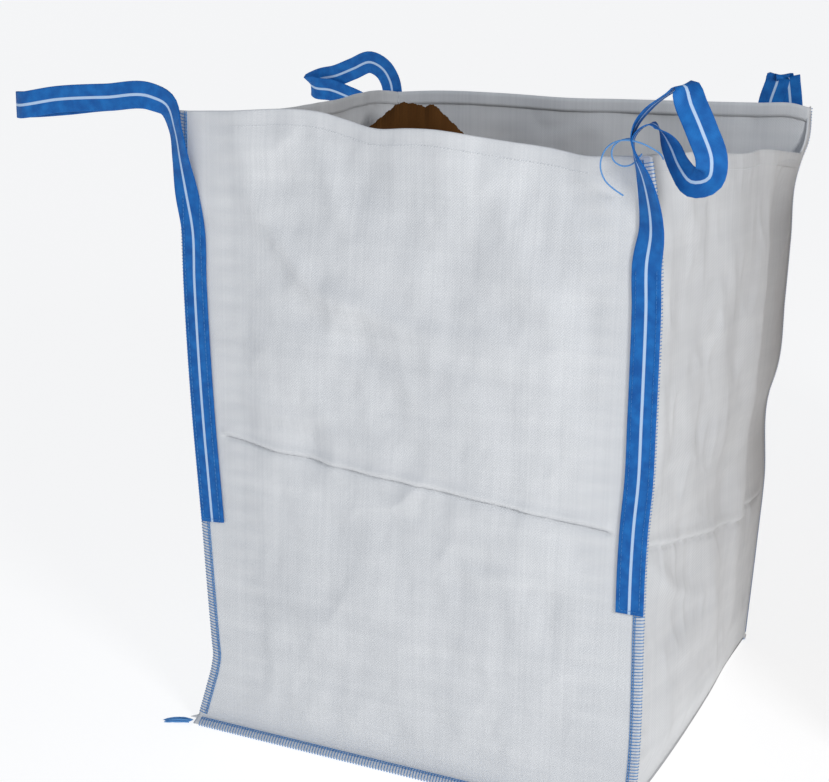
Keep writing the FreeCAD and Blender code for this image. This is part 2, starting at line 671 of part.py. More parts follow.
# The chain of thread left at the top of the front right seam stands up, curls over in front
# of the panel and turns back under itself.
rim_corner = Vector(size(f"{HALF_FRONT_RIM} + flange"), -size("depth / 2"), size("height"))
tube("thread_tail_front_right", rim_corner, [
    (-2, -1.3, 1.6),
    (1, -15, 8),
    (-6, -33, 19),
    (-29, -42, 31),
    (-59, -45, 34),
    (-84, -44, 21),
    (-96, -40, -7),
    (-91, -32, -33),
    (-76, -24, -49),
    (-60, -18, -59),
])
base_corner = Vector(-size(f"{HALF_FLOOR} + flange"), -size("depth / 2 + flange"), 0)
tube("thread_tail_base_left", base_corner, [
    (-0.8, -0.4, 1.5),
    (-10, -4, 1.5),
    (-20, -4, 1.5),
    (-30, -8, 1.5),
    (-36, -17, 1.5),
    (-46, -20, 1.5),
])

# ---------------------------------------------------------------- checks and export

for name, place in HINGES.items():
    print("hinge of loop", name, [round(value, 2) for value in place])
print("fold of the back right loop", [round(value, 2) for value in fold])

doc.recompute()
os.makedirs("parts", exist_ok=True)
for item in doc.Objects:
    if "Invalid" in item.State or "Error" in item.State:
        raise RuntimeError(f"{item.Label} failed: {item.State}")
for node in NODES:
    if node.Shape.isNull() or not node.Shape.isValid():
        raise RuntimeError(f"{node.Label} has no valid shape")
    if node.Shape.Volume <= 0:
        raise RuntimeError(f"{node.Label} has no volume")
    node.Shape.exportStep(f"parts/{node.Label}.step")
    print(node.Label, "solids", len(node.Shape.Solids), "volume", round(node.Shape.Volume),
          [round(value) for value in (node.Shape.BoundBox.XMin, node.Shape.BoundBox.XMax,
                                      node.Shape.BoundBox.YMin, node.Shape.BoundBox.YMax,
                                      node.Shape.BoundBox.ZMin, node.Shape.BoundBox.ZMax)])
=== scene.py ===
import math

import bpy
import numpy as np
from mathutils import Matrix


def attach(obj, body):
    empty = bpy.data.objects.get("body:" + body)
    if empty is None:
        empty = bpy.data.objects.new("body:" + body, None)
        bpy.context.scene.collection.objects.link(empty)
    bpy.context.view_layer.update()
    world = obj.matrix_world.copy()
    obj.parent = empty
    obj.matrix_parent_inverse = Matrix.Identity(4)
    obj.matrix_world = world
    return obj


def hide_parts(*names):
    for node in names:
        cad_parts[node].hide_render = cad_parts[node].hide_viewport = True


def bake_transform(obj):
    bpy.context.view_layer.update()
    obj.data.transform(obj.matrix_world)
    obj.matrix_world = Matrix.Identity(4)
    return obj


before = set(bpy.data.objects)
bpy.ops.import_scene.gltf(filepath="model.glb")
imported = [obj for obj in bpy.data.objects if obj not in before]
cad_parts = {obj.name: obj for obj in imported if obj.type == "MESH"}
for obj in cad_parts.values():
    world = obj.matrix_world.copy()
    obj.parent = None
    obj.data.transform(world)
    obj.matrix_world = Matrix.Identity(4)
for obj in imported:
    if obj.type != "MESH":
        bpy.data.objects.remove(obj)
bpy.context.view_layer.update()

# ---------------------------------------------------------------- camera, floor and light

# A long lens a little above the rim looks past the front right corner, over a pale floor that
# glows a little. The sky is brighter from the front left, and one lamp stands on the right.
camera_data = bpy.data.cameras.new("camera")
camera_data.sensor_width = 36
camera_data.lens = 71.17
camera_data.clip_end = 400
camera = bpy.data.objects.new("camera", camera_data)
camera.matrix_world = (
    Matrix.Translation((1.2471, -2.987, 1.485))
    @ Matrix.Rotation(0.449, 4, "Z")
    @ Matrix.Rotation(math.pi / 2 - 0.257, 4, "X")
    @ Matrix.Rotation(0.015, 4, "Z")
)
bpy.context.collection.objects.link(camera)
bpy.context.scene.camera = camera
bpy.context.scene.view_settings.view_transform = "Standard"


def joined(tree, kind, inputs, **settings):
    """Adds a shader node with its settings, and gives each input a value or a link."""
    node = tree.nodes.new(kind)
    for key, value in settings.items():
        setattr(node, key, value)
    for key, value in inputs.items():
        if isinstance(value, bpy.types.NodeSocket):
            tree.links.new(value, node.inputs[key])
        else:
            node.inputs[key].default_value = value
    return node


def look(name, values):
    """A new material, with these values on its Principled shader."""
    material = bpy.data.materials.new(name)
    material.use_nodes = True
    shader = material.node_tree.nodes["Principled BSDF"]
    for key, value in values.items():
        shader.inputs[key].default_value = value
    return material, material.node_tree, shader


# A wide pale floor.
floor_mesh = bpy.data.meshes.new("floor")
floor_mesh.from_pydata(
    [(-150, -150, 0), (150, -150, 0), (150, 150, 0), (-150, 150, 0)], [], [(0, 1, 2, 3)]
)
floor = bpy.data.objects.new("floor", floor_mesh)
floor.location.z = -0.001
bpy.context.collection.objects.link(floor)
floor_paint, _, _ = look("floor_paint", {"Base Color": (0.35, 0.35, 0.35, 1), "Roughness": 0.9,
                                         "Emission Color": (1, 1, 1, 1),
                                         "Emission Strength": 0.78})
floor_mesh.materials.append(floor_paint)

world = bpy.data.worlds.new("world")
world.use_nodes = True
sky = world.node_tree
aim = sky.nodes.new("ShaderNodeTexCoord").outputs["Generated"]
toward = joined(sky, "ShaderNodeVectorMath", {0: aim, 1: (-0.62, -0.74, 0.28)},
                operation="DOT_PRODUCT")
bright = joined(sky, "ShaderNodeMapRange", {"Value": toward.outputs["Value"], "From Min": -0.75,
                                            "From Max": 0.6}, interpolation_type="SMOOTHSTEP")
ramp = joined(sky, "ShaderNodeValToRGB", {"Fac": bright.outputs[0]})
ramp.color_ramp.elements[0].color = (0.27, 0.245, 0.225, 1)
ramp.color_ramp.elements[1].color = (0.84, 0.90, 1.0, 1)
sky.links.new(ramp.outputs["Color"], sky.nodes["Background"].inputs["Color"])
sky.nodes["Background"].inputs["Strength"].default_value = 0.50
bpy.context.scene.world = world


def soft_light(name, place, aim, size, power):
    """A large square lamp that points from its place at its aim."""
    lamp = bpy.data.lights.new(name, "AREA")
    lamp.size = size
    lamp.energy = power
    holder = bpy.data.objects.new(name, lamp)
    holder.location = place
    away = holder.location - type(holder.location)(aim)
    holder.rotation_euler = away.to_track_quat("Z", "Y").to_euler()
    bpy.context.collection.objects.link(holder)


soft_light("front_light", (3.9, -3.0, 2.5), (0, 0, 0.6), 1.1, 104)

# A dark card beside the bag keeps the light off the back of its right wall.
card_mesh = bpy.data.meshes.new("shade_card")
card_mesh.from_pydata([(0.9, -0.12, 0), (0.9, 1.6, 0), (0.9, 1.6, 1.24), (0.9, -0.12, 1.24)], [],
                      [(0, 1, 2, 3)])
shade_card = bpy.data.objects.new("shade_card", card_mesh)
shade_card.visible_camera = False
bpy.context.collection.objects.link(shade_card)
card_paint, _, _ = look("card_paint", {"Base Color": (0.42, 0.36, 0.31, 1), "Roughness": 0.9})
card_mesh.materials.append(card_paint)

# ---------------------------------------------------------------- loose thread ends

# Two chains of overlock thread, each still fast in its seam at one end. They carry no
# cloth: one springs up and curls over at the rim, one lies by the foot of the bag.

CHAIN_THICK = 0.0026


def thread_curve(name, points):
    """A round thread along the points, given in millimetres."""
    curve = bpy.data.curves.new(name, "CURVE")
    curve.dimensions = "3D"
    curve.bevel_depth = CHAIN_THICK / 2
    curve.bevel_resolution = 3
    curve.use_fill_caps = True
    spline = curve.splines.new("NURBS")
    spline.points.add(len(points) - 1)
    for point, place in zip(spline.points, points):
        point.co = [value / 1000 for value in place] + [1]
    spline.order_u = 3
    spline.use_endpoint_u = True
    thread = bpy.data.objects.new(name, curve)
    bpy.context.collection.objects.link(thread)
    curve.materials.append(thread_paint)
    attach(thread, "root")
    return thread


def chain(name, points, with_pieces=()):
    """A loose chain of thread."""
    cord = thread_curve(name, points)
    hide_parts(name)


def between(tree, factor, first, second):
    """The colour that lies between two others by a factor, each a value or a link."""
    return joined(tree, "ShaderNodeMix", {0: factor, 6: first, 7: second},
                  data_type="RGBA").outputs[2]


thread_paint, tree, shader = look("thread_blue", {"Roughness": 0.6})
twist = tree.nodes.new("ShaderNodeTexCoord").outputs["Object"]
strands = joined(tree, "ShaderNodeTexNoise", {"Vector": twist, "Scale": 900.0, "Detail": 2.0})
tone = between(tree, strands.outputs["Fac"], (0.01, 0.13, 0.42, 1), (0.16, 0.42, 0.78, 1))
tree.links.new(tone, shader.inputs["Base Color"])

chain("thread_tail_front_right", [
    (460, -451.3, 1183.6), (463, -465, 1190), (456, -483, 1201), (433, -492, 1213),
    (403, -495, 1216), (378, -494, 1203), (366, -490, 1175), (371, -482, 1149),
    (386, -474, 1133), (402, -468, 1123)],
    [thread_curve("thread_curl", [
        (414, -478, 1216), (399, -483, 1215), (384, -486, 1201), (386, -486, 1180),
        (405, -484, 1170), (424, -480, 1178), (430, -470, 1192)])])

# The short end is frayed into a bush of strands: each runs beside the end's line, spread
# round it by a radius that grows to the middle and closes again, and tapers to both tips.
STRANDS, STEPS, SIDES = 26, 12, 5
random = np.random.default_rng(5)
share = np.linspace(0, 1, STEPS)
middle = np.stack([np.interp(share, (0, .4, 1), (-.446, -.470, -.501)),
                   np.interp(share, (0, .4, 1), (-.469, -.474, -.487)),
                   np.interp(share, (0, .2, 1), (.0085, .0065, .0030))], -1)
angle = random.uniform(0, 2 * np.pi, (STRANDS, 1)) + random.uniform(-1, 1, (STRANDS, 1)) * share
spread = 0.0065 * np.sqrt(random.uniform(0.05, 1, (STRANDS, 1))) * np.sin(np.pi * share) ** 0.7
line = middle + np.stack([share * random.uniform(-.006, .006, (STRANDS, 1)),
                          spread * np.cos(angle), 0.8 * spread * np.sin(angle)], -1)
line[..., 2] = np.maximum(line[..., 2], 0.0015)
around = np.linspace(0, 2 * np.pi, SIDES, endpoint=False)
ring = np.stack([around * 0, np.cos(around), np.sin(around)], -1)
thick = (0.00125 * np.sin(np.pi * np.clip(share, 0.01, 0.99)) ** 0.4)[None, :, None, None]
places = line[:, :, None] + thick * ring
index = np.arange(STRANDS * STEPS * SIDES).reshape(STRANDS, STEPS, SIDES)
turned = np.roll(index, -1, axis=2)
quads = np.stack([index[:, :-1], index[:, 1:], turned[:, 1:], turned[:, :-1]], -1)
tuft_mesh = bpy.data.meshes.new("thread_tuft")
tuft_mesh.from_pydata(places.reshape(-1, 3).tolist(), [], quads.reshape(-1, 4).tolist())
tuft_mesh.shade_smooth()
tuft_mesh.materials.append(thread_paint)
tuft = bpy.data.objects.new("thread_tuft", tuft_mesh)
bpy.context.collection.objects.link(tuft)
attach(tuft, "root")
chain("thread_tail_base_left", [
    (-454.8, -472.4, 3), (-464, -475, 2.5), (-474, -476, 1.5), (-484, -480, 1.5),
    (-491, -488, 1.5), (-501, -491, 1.5)], [tuft])

# ---------------------------------------------------------------- woven cloth

# Four walls and a base of white woven cloth. Each wall has a rolled hem at the rim and a
# flange beyond each seam, and the seams lie where the empty cloth has settled.

CLOTH = 0.0016
FLANGE = 0.022
HEM_TURN = 0.027
HEM_LINE = 0.026
SEAM_HEIGHT = 0.012


def smooth(knots, values, at):
    """Value of a smooth curve through the knots, held level beyond both ends."""
    knots, values = np.asarray(knots, float), np.asarray(values, float)
    slopes = np.gradient(values, knots)
    at = np.clip(at, knots[0], knots[-1])
    i = np.clip(np.searchsorted(knots, at, side="right") - 1, 0, len(knots) - 2)
    span = knots[i + 1] - knots[i]
    t = (at - knots[i]) / span
    return ((2 * t**3 - 3 * t**2 + 1) * values[i] + (t**3 - 2 * t**2 + t) * span * slopes[i]
            + (3 * t**2 - 2 * t**3) * values[i + 1] + (t**3 - t**2) * span * slopes[i + 1])


def eased(value, low, high):
    """From 0 at low to 1 at high, level at both ends."""
    t = np.clip((value - low) / (high - low), 0, 1)
    return t * t * (3 - 2 * t)


def fold(u, v, line, height, width):
    """A rounded fold along a line of (u, v) points, which fades out at both ends."""
    line = np.asarray(line, float)
    nearest, share = np.full(np.shape(u), 9.0), np.zeros(np.shape(u))
    for k, (start, end) in enumerate(zip(line, line[1:])):
        run = end - start
        t = np.clip(((u - start[0]) * run[0] + (v - start[1]) * run[1]) / (run @ run), 0, 1)
        gap = np.hypot(u - start[0] - t * run[0], v - start[1] - t * run[1])
        share = np.where(gap < nearest, (k + t) / (len(line) - 1), share)
        nearest = np.minimum(gap, nearest)
    return height * np.exp(-((nearest / width) ** 2)) * np.sin(np.pi * np.clip(share, 0.08, 0.92))


def unrest(u, v, seed, wave, height, stretch=(1, 1)):
    """Soft irregular relief: waves of about one length that cross in all directions."""
    random = np.random.default_rng(seed)
    total = np.zeros(np.shape(u))
    for turn, phase, length in zip(random.uniform(0, np.pi, 16), random.uniform(0, 6.28, 16),
                                   random.uniform(0.6, 1.7, 16)):
        way = u * np.cos(turn) / stretch[0] + v * np.sin(turn) / stretch[1]
        bend = 0.6 * np.sin((u * np.sin(turn) - v * np.cos(turn)) * 2.9 / wave + phase)
        total += np.sin(way * 2 * np.pi / (wave * length) + phase + bend)
    return height * total / 3


def crumple(u, v, seed, wave, height):
    """Sharp-edged small dents, as where two soft reliefs of the cloth meet."""
    first = unrest(u, v, seed, wave, 1)
    second = unrest(u, v, seed + 1, wave * 0.7, 1)
    return height * (0.5 - np.abs(first)) * (0.6 + 0.4 * second)


# Where each upright seam runs: height, across, both in metres from the middle of the base.
seam_front_left = (
    (0.012, 0.075, 0.125, 0.15, 0.175, 0.265, 0.417, 0.668, 0.861, 0.967, 1.1, 1.21),
    (-0.424, -0.405, -0.391, -0.387, -0.389, -0.396, -0.407, -0.427, -0.437, -0.440, -0.441,
     -0.441))
seam_front_right = ((0.012, 0.1, 0.4, 0.55, 0.62, 0.78, 0.95, 1.05, 1.12, 1.182),
                    (0.444, 0.449, 0.446, 0.446, 0.450, 0.450, 0.448, 0.442, 0.431, 0.419))
seam_back_right = ((0.012, 0.25, 0.39, 0.585, 0.643, 0.797, 0.926, 1.052, 1.09, 1.13, 1.2),
                   (0.426, 0.438, 0.444, 0.441, 0.455, 0.461, 0.464, 0.466, 0.474, 0.486, 0.488))
seam_back_left = ((0.012, 0.3, 0.57, 0.9, 1.182), (-0.440, -0.440, -0.434, -0.450, -0.464))

TAPE = 0.0026
cloth_paint, tree, shader = look("woven_white", {"Roughness": 0.62, "Sheen Weight": 0.15})
weave = bpy.data.node_groups.new("woven_cloth", "ShaderNodeTree")
weave.interface.new_socket("Color", in_out="OUTPUT", socket_type="NodeSocketColor")
weave.interface.new_socket("Height", in_out="OUTPUT", socket_type="NodeSocketFloat")
ends = weave.nodes.new("NodeGroupOutput")
metres = weave.nodes.new("ShaderNodeTexCoord").outputs["UV"]
axes = joined(weave, "ShaderNodeSeparateXYZ", {"Vector": metres})


def tape(axis):
    """Rise and fall of the flat tapes that cross this axis: a sine over each pair of them."""
    turn = joined(weave, "ShaderNodeMath", {0: axes.outputs[axis], 1: math.pi / TAPE},
                  operation="MULTIPLY")
    return joined(weave, "ShaderNodeMath", {0: turn.outputs[0]}, operation="SINE").outputs[0]


def streaks(scale, size):
    """Uneven tapes: noise drawn out along one way of the weave."""
    drawn = joined(weave, "ShaderNodeMapping", {"Vector": metres, "Scale": scale})
    return joined(weave, "ShaderNodeTexNoise",
                  {"Vector": drawn.outputs[0], "Scale": size, "Detail": 3.0}).outputs["Fac"]


over = joined(weave, "ShaderNodeMath", {0: tape("X"), 1: tape("Y")}, operation="MULTIPLY")
upright = streaks((190, 1.2, 1), 1.0)
level = streaks((1.5, 30, 1), 1.0)
patches = streaks((1, 1, 1), 5.0)
both = joined(weave, "ShaderNodeMath", {0: upright, 1: level}, operation="ADD")
mixed = joined(weave, "ShaderNodeMath", {0: both.outputs[0], 1: patches}, operation="ADD")
tone = joined(weave, "ShaderNodeMapRange", {"Value": mixed.outputs[0], "From Min": 1.0,
                                            "From Max": 2.0})
ramp = joined(weave, "ShaderNodeValToRGB", {"Fac": tone.outputs[0]})
ramp.color_ramp.elements[0].color = (0.62, 0.635, 0.655, 1)
ramp.color_ramp.elements[1].color = (0.74, 0.752, 0.765, 1)
weave.links.new(ramp.outputs["Color"], ends.inputs["Color"])
rough = joined(weave, "ShaderNodeMath", {0: mixed.outputs[0], 1: 0.6}, operation="MULTIPLY")
raised = joined(weave, "ShaderNodeMath", {0: over.outputs[0], 1: rough.outputs[0]},
                operation="ADD")
weave.links.new(raised.outputs[0], ends.inputs["Height"])
woven = tree.nodes.new("ShaderNodeGroup")
woven.node_tree = weave
tree.links.new(woven.outputs["Color"], shader.inputs["Base Color"])
bump = joined(tree, "ShaderNodeBump", {"Height": woven.outputs["Height"], "Strength": 0.5,
                                       "Distance": 0.0004})
tree.links.new(bump.outputs["Normal"], shader.inputs["Normal"])


def surface(name, places, flat, paint, closed=False, turned=False):
    """A mesh over a grid of places (rows, columns, 3), with flat coordinates in metres."""
    rows, columns = places.shape[:2]
    index = np.arange(rows * columns).reshape(rows, columns)
    if closed:
        index = np.hstack([index, index[:, :1]])
    quads = np.stack([index[:-1, :-1], index[:-1, 1:], index[1:, 1:], index[1:, :-1]], -1)
    if turned:
        quads = quads[..., ::-1]
    mesh = bpy.data.meshes.new(name)
    mesh.from_pydata(places.reshape(-1, 3).tolist(), [], quads.reshape(-1, 4).tolist())
    corners = np.empty(len(mesh.loops), int)
    mesh.loops.foreach_get("vertex_index", corners)
    layer = mesh.uv_layers.new(name="flat")
    layer.data.foreach_set("uv", flat.reshape(-1, 2)[corners].astype(np.float32).ravel())
    mesh.shade_smooth()
    mesh.materials.append(paint)
    piece = bpy.data.objects.new(name, mesh)
    bpy.context.collection.objects.link(piece)
    return piece


def straight(height):
    """A seam whose flange stands straight out sideways."""
    return height * 0


def laid_back(height):
    """Turn of the back right flange, which is laid back behind the bag."""
    return height * 0 + math.radians(100)


# A wall's grid has rows for the base flange, the cloth and the turn of the hem. RISE holds the
# cloth's shares of the way up, four times as close where the packing crease runs.
COLUMNS, FLANGE_ROWS, CLOTH_ROWS, HEM_ROWS = 151, 4, 226, 7
RIM_ROW = FLANGE_ROWS + CLOTH_ROWS
LAYERS = 0.0033
even = np.linspace(0, 1, 400)
crowd = np.cumsum(1 + 3 * np.exp(-(((even - 0.47) / 0.05) ** 2)))
RISE = np.interp(np.linspace(0, 1, CLOTH_ROWS), (crowd - crowd[0]) / (crowd[-1] - crowd[0]), even)


def wall(name, ends, depth, rim, relief, place, outwards, turned, bend=straight, tuck=False):
    """A wall between two seams: flange, cloth, flange across; base flange to hem upwards.

    relief(along, height, share, rise) gives how far the cloth stands out from the seams' chord.
    place(along, out, height) turns wall coordinates into places, and bend(height) is the turn
    of the last flange about its seam, the outer layer lying on the inner one, LAYERS apart.
    The base flange stands out on the floor, or is tucked under the bag.
    """
    over = FLANGE * np.array([1, 0.75, 0.5, 0.25])
    share = np.linspace(0, 1, COLUMNS)
    columns = np.concatenate([share[0] - over * 0, share, share[-1] + over * 0])
    beyond = np.concatenate([-over, np.zeros(COLUMNS), over[::-1]])
    rows = np.concatenate([over * 0, RISE, np.ones(HEM_ROWS)])
    below = np.concatenate([over, np.zeros(CLOTH_ROWS + HEM_ROWS)])
    roll_up = np.concatenate([np.zeros(RIM_ROW),
                              [.0018, .0026, .0018, -.006, -.013, -.020, -HEM_TURN]])
    roll_in = np.concatenate([np.zeros(RIM_ROW), [.0008, .0026, .0044, .005, .005, .005, .0046]])
    s, t = np.meshgrid(columns, rows)
    beyond, below = np.meshgrid(beyond, below)
    _, roll_up = np.meshgrid(columns, roll_up)
    _, roll_in = np.meshgrid(columns, roll_in)
    chord = -1 + 2 * s
    height = SEAM_HEIGHT + t * (rim(chord * 0.45) - SEAM_HEIGHT)
    first, last = smooth(*ends[0], height), smooth(*ends[1], height)
    turn = bend(height) * (beyond > 0)
    if outwards:
        along = chord * (depth - LAYERS) + np.abs(beyond) * np.sin(turn) * (beyond > 0)
        along = along + LAYERS * (1 - np.cos(turn))
        out = np.abs(first) * (1 - s) + np.abs(last) * s + np.abs(beyond) * np.cos(turn)
        out = out + LAYERS * np.sin(turn)
    else:
        along = first + (last - first) * s + beyond * np.cos(turn)
        out = depth + 0 * s + beyond * np.sin(turn)
    out = out + np.where(beyond == 0, relief(along, height, s, t), 0)
    sideways, down = (-0.8, 0.5) if tuck else (0.93, 0.42)
    out = out - roll_in + below * sideways
    height = height + roll_up - below * down
    flat = np.stack([along + beyond * outwards, height - below], -1)
    grid = place(along, out, height)
    piece = surface(name, grid, flat, cloth_paint, turned=turned)
    thick = piece.modifiers.new("thickness", "SOLIDIFY")
    thick.thickness = CLOTH
    thick.offset = -1
    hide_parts(name)
    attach(piece, "root")
    return grid


def front_rim(x):
    """Height of the front rim: it waves, and is held up at the left corner."""
    return smooth((-.45, -.36, -.28, -.22, -.17, -.12, -.05, .02, .075, .17, .28, .35, .42, .45),
                  (1.211, 1.216, 1.222, 1.225, 1.222, 1.212, 1.200, 1.205, 1.206, 1.196, 1.186,
                   1.178, 1.182, 1.183), x)


# The front wall's slack between its straps, in metres: each row is one level, left to right.
SLACK = 0.018
SLACK_ROWS = ((0.111, (0, .35, .5, .45, .3, 0)), (0.341, (0, .5, 1, .6, .55, 0)),
              (0.568, (0, .45, .5, .7, .4, 0)), (0.764, (0, .9, .5, 1, .5, 0)),
              (0.948, (0, .4, .9, .4, .7, 0)), (1.112, (0, 0, 0, 0, 0, 0)))


def front_slack(x, z):
    """Smooth swell of the slack through its rows, from nothing at the floor and at the hem."""
    places = (-.36, -.279, -.09, .09, .279, .36)
    levels = [0.002] + [level for level, _ in SLACK_ROWS]
    shapes = [x * 0] + [smooth(places, row, x) for _, row in SLACK_ROWS]
    out = x * 0
    for low, high, below, above in zip(levels, levels[1:], shapes, shapes[1:]):
        out = np.where(z >= low, below + (above - below) * eased(z, low, high), out)
    return out * SLACK


def creased(gap, height):
    """A packing crease: a narrow valley, with the cloth raised in a soft ridge above it."""
    return height * (0.45 * np.exp(-(((gap - 0.010) / 0.010) ** 2)) - np.exp(-np.abs(gap) / 0.004))


def front_relief(x, z, share, rise):
    """The front wall is flat by its straps, creased across, and softly wrinkled between."""
    clear = eased(np.minimum(share, 1 - share), 0.05, 0.16)
    foot = eased(z, 0.012, 0.08)
    out = front_slack(x, z)
    out = out + 0.012 * eased(z, 0.95, 1.2) * np.sin(x * 2 * np.pi / 0.42 + 0.6)
    out = out + unrest(x, z, 8, 0.11, 0.0018, (1, 1.8)) + unrest(x, z, 4, 0.05, 0.0004, (1, 2.5))
    out = out + crumple(x, z, 21, 0.20, 0.0030) + crumple(x, z, 27, 0.06, 0.0007)
    out = out + fold(x, z, ((-.33, 1.08), (-.26, 1.01), (-.167, .908), (.034, .857), (.2, .85)),
                     0.014, 0.024)
    out = out - fold(x, z, ((-.30, .98), (-.21, .86), (-.05, .80), (.1, .78)), 0.006, 0.025)
    out = out + fold(x, z, ((-.18, 1.19), (-.14, 1.08), (-.10, 1.0)), 0.008, 0.022)
    out = out + fold(x, z, ((.2, 1.17), (.17, 1.0), (.19, .88)), 0.005, 0.03)
    out = out + fold(x, z, ((-.36, .70), (-.2, .66), (-.1, .70)), 0.004, 0.015)
    out = out + fold(x, z, ((.05, .45), (.16, .42), (.3, .44)), 0.004, 0.015)
    line = smooth((-.41, -.104, .157, .309, .43), (.608, .578, .562, .546, .538), x)
    crease = creased(z - line, 0.011)
    pucker = 0.0011 * np.sin(z * 2 * np.pi / 0.034 + 2 * np.sin(z * 9))
    pucker = pucker * np.exp(-((np.minimum(share, 1 - share) - 0.09) / 0.035) ** 2)
    crease = crease * eased(np.minimum(share, 1 - share), 0.045, 0.065)
    return out * foot * clear + crease + pucker * foot


front = wall("front_panel", (seam_front_left, seam_front_right), 0.45, front_rim, front_relief,
             lambda x, out, z: np.stack([x, -out, z], -1), False, False)


def swell(y, z, rows):
    """How far an empty side wall stands out: each row is one level, from front to back."""
    levels = (0.012, 0.11, 0.57, 0.9, 1.19)
    shapes = [smooth((-.45, -.25, 0, .14, .25, .34, .45), row, y) for row in rows]
    out = shapes[0]
    for low, high, below, above in zip(levels, levels[1:], shapes, shapes[1:]):
        out = np.where(z >= low, below + (above - below) * eased(z, low, high), out)
    return out


def right_rim(y):
    """Height of the right rim: it sags towards the back, then climbs to its corner."""
    return smooth((-.45, -.35, -.245, -.014, .109, .25, .36, .405, .43, .445, .45),
                  (1.184, 1.178, 1.173, 1.150, 1.146, 1.130, 1.116, 1.112, 1.120, 1.160, 1.19), y)


def right_relief(y, z, share, rise):
    """The right wall bellies out, breaks at an upright fold and hangs in folds behind it."""
    out = swell(y, z, ((0, .006, .008, .006, .002, 0, 0), (0, .022, .032, .029, .011, .012, 0),
                       (0, .010, .024, .034, .004, .014, 0), (0, .012, .026, .036, .004, .016, 0),
                       (0, .012, .020, .026, .014, .022, 0)))
    clear = eased(np.minimum(share, 1 - share), 0.0, 0.09)
    ripple = unrest(y, z, 13, 0.2, 0.004, (1, 2)) + crumple(y, z, 31, 0.14, 0.0022)
    line = smooth((-.45, -.315, .129, .45), (.515, .483, .40, .37), y)
    ripple = ripple + creased(z - line, 0.010)
    ripple = ripple + fold(y, z, ((-.42, .50), (-.25, .38), (-.05, .30)), 0.006, 0.02)
    ripple = ripple + fold(y, z, ((-.40, .30), (-.2, .24), (.1, .25)), 0.005, 0.03)
    return out + ripple * clear * eased(z, 0.012, 0.08)


right = wall("right_panel", (seam_front_right, seam_back_right), 0.45, right_rim, right_relief,
             lambda y, out, z: np.stack([out, y, z], -1), True, False, laid_back, True)


def back_rim(x):
    """Height of the back rim, which climbs to the right."""
    return smooth((-.45, -.38, 0, .076, .35, .42, .45),
                  (1.188, 1.194, 1.196, 1.198, 1.205, 1.207, 1.200), x)


def back_relief(x, z, share, rise):
    """The back wall hangs in soft upright folds from its stiffer rim."""
    clear = eased(np.minimum(share, 1 - share), 0.05, 0.16) * eased(z, 0.012, 0.08)
    out = 0.012 * np.sin(np.pi * share) * np.sin(np.pi * rise)
    out = out + unrest(x, z, 43, 0.24, 0.005, (1, 1.6)) + crumple(x, z, 47, 0.15, 0.0018)
    line = smooth((-.45, 0, .45), (.56, .575, .56), x)
    return (out + creased(z - line, 0.006)) * clear


back = wall("back_panel", (seam_back_left, seam_back_right), 0.45, back_rim, back_relief,
            lambda x, out, z: np.stack([x, out, z], -1), False, True, laid_back)


def left_rim(y):
    """Height of the left rim: held up at the front, slack behind."""
    return smooth((-.45, -.3, -.1, .15, .42, .45), (1.210, 1.194, 1.188, 1.190, 1.192, 1.188), y)


def left_relief(y, z, share, rise):
    """The left wall leans on the board's edge and folds softly in front of it."""
    clear = eased(np.minimum(share, 1 - share), 0.0, 0.09) * eased(z, 0.012, 0.08)
    out = swell(y, z, ((0, 0, 0, 0, 0, 0, 0), (0, .009, .013, .013, .018, .011, 0),
                       (0, .011, .016, .016, .023, .014, 0), (0, .011, .016, .016, .023, .014, 0),
                       (0, .009, .013, .013, .018, .011, 0)))
    wrinkle = unrest(y, z, 53, 0.25, 0.003, (1, 1.8)) + crumple(y, z, 57, 0.15, 0.002)
    line = smooth((-.45, 0, .45), (.605, .585, .56), y)
    return out + (wrinkle + creased(z - line, 0.006)) * clear


left = wall("left_panel", (seam_front_left, seam_back_left), 0.45, left_rim, left_relief,
            lambda y, out, z: np.stack([-out, y, z], -1), True, True)

# The base is one square of the same cloth. It lies on the floor and turns up at its edges to
# the seams, with its own flange beyond them.
over = np.array([0.021, 0.014, 0.007])
run = np.concatenate([over * 0 - 1, np.linspace(-1, 1, 121), over * 0 + 1])
past = np.concatenate([-over, np.zeros(121), over[::-1]])
across, deep = np.meshgrid(run, run)
past_x, past_y = np.meshgrid(past, past)
left_edge = -0.424 + (-0.440 + 0.424) * (deep + 1) / 2
right_edge = smooth((-1, -.55, 0, .33, .6, 1), (.444, .448, .444, .438, .430, .426), deep)
x = left_edge + (right_edge - left_edge) * (across + 1) / 2
edge = np.maximum(np.abs(across), np.abs(deep))
z = 0.0004 + (SEAM_HEIGHT - 0.0024) * eased(edge, 0.9, 1)
z = z + np.abs(unrest(x, deep * 0.45, 63, 0.2, 0.002)) * (1 - eased(edge, 0.8, 0.9))
z = z - 0.42 * np.maximum(np.abs(past_x), np.abs(past_y))
tucked = np.where(past_x > 0, -0.8, 0.93)
base = surface("base_panel", np.stack([x + past_x * tucked, deep * 0.4492 + past_y * 0.93, z], -1),
               np.stack([x + past_x, deep * 0.45 + past_y], -1), cloth_paint)
thick = base.modifiers.new("thickness", "SOLIDIFY")
thick.thickness = CLOTH
thick.offset = 1
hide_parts("base_panel")
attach(base, "root")

# ---------------------------------------------------------------- webbing straps

# Blue webbing with a pale stripe. Each length is sewn up the corner, makes its lifting loop
# and comes back down on its own first leg; it bends where the loop swings.

WEB_WIDTH = 0.050
WEB_THICKNESS = 0.0018

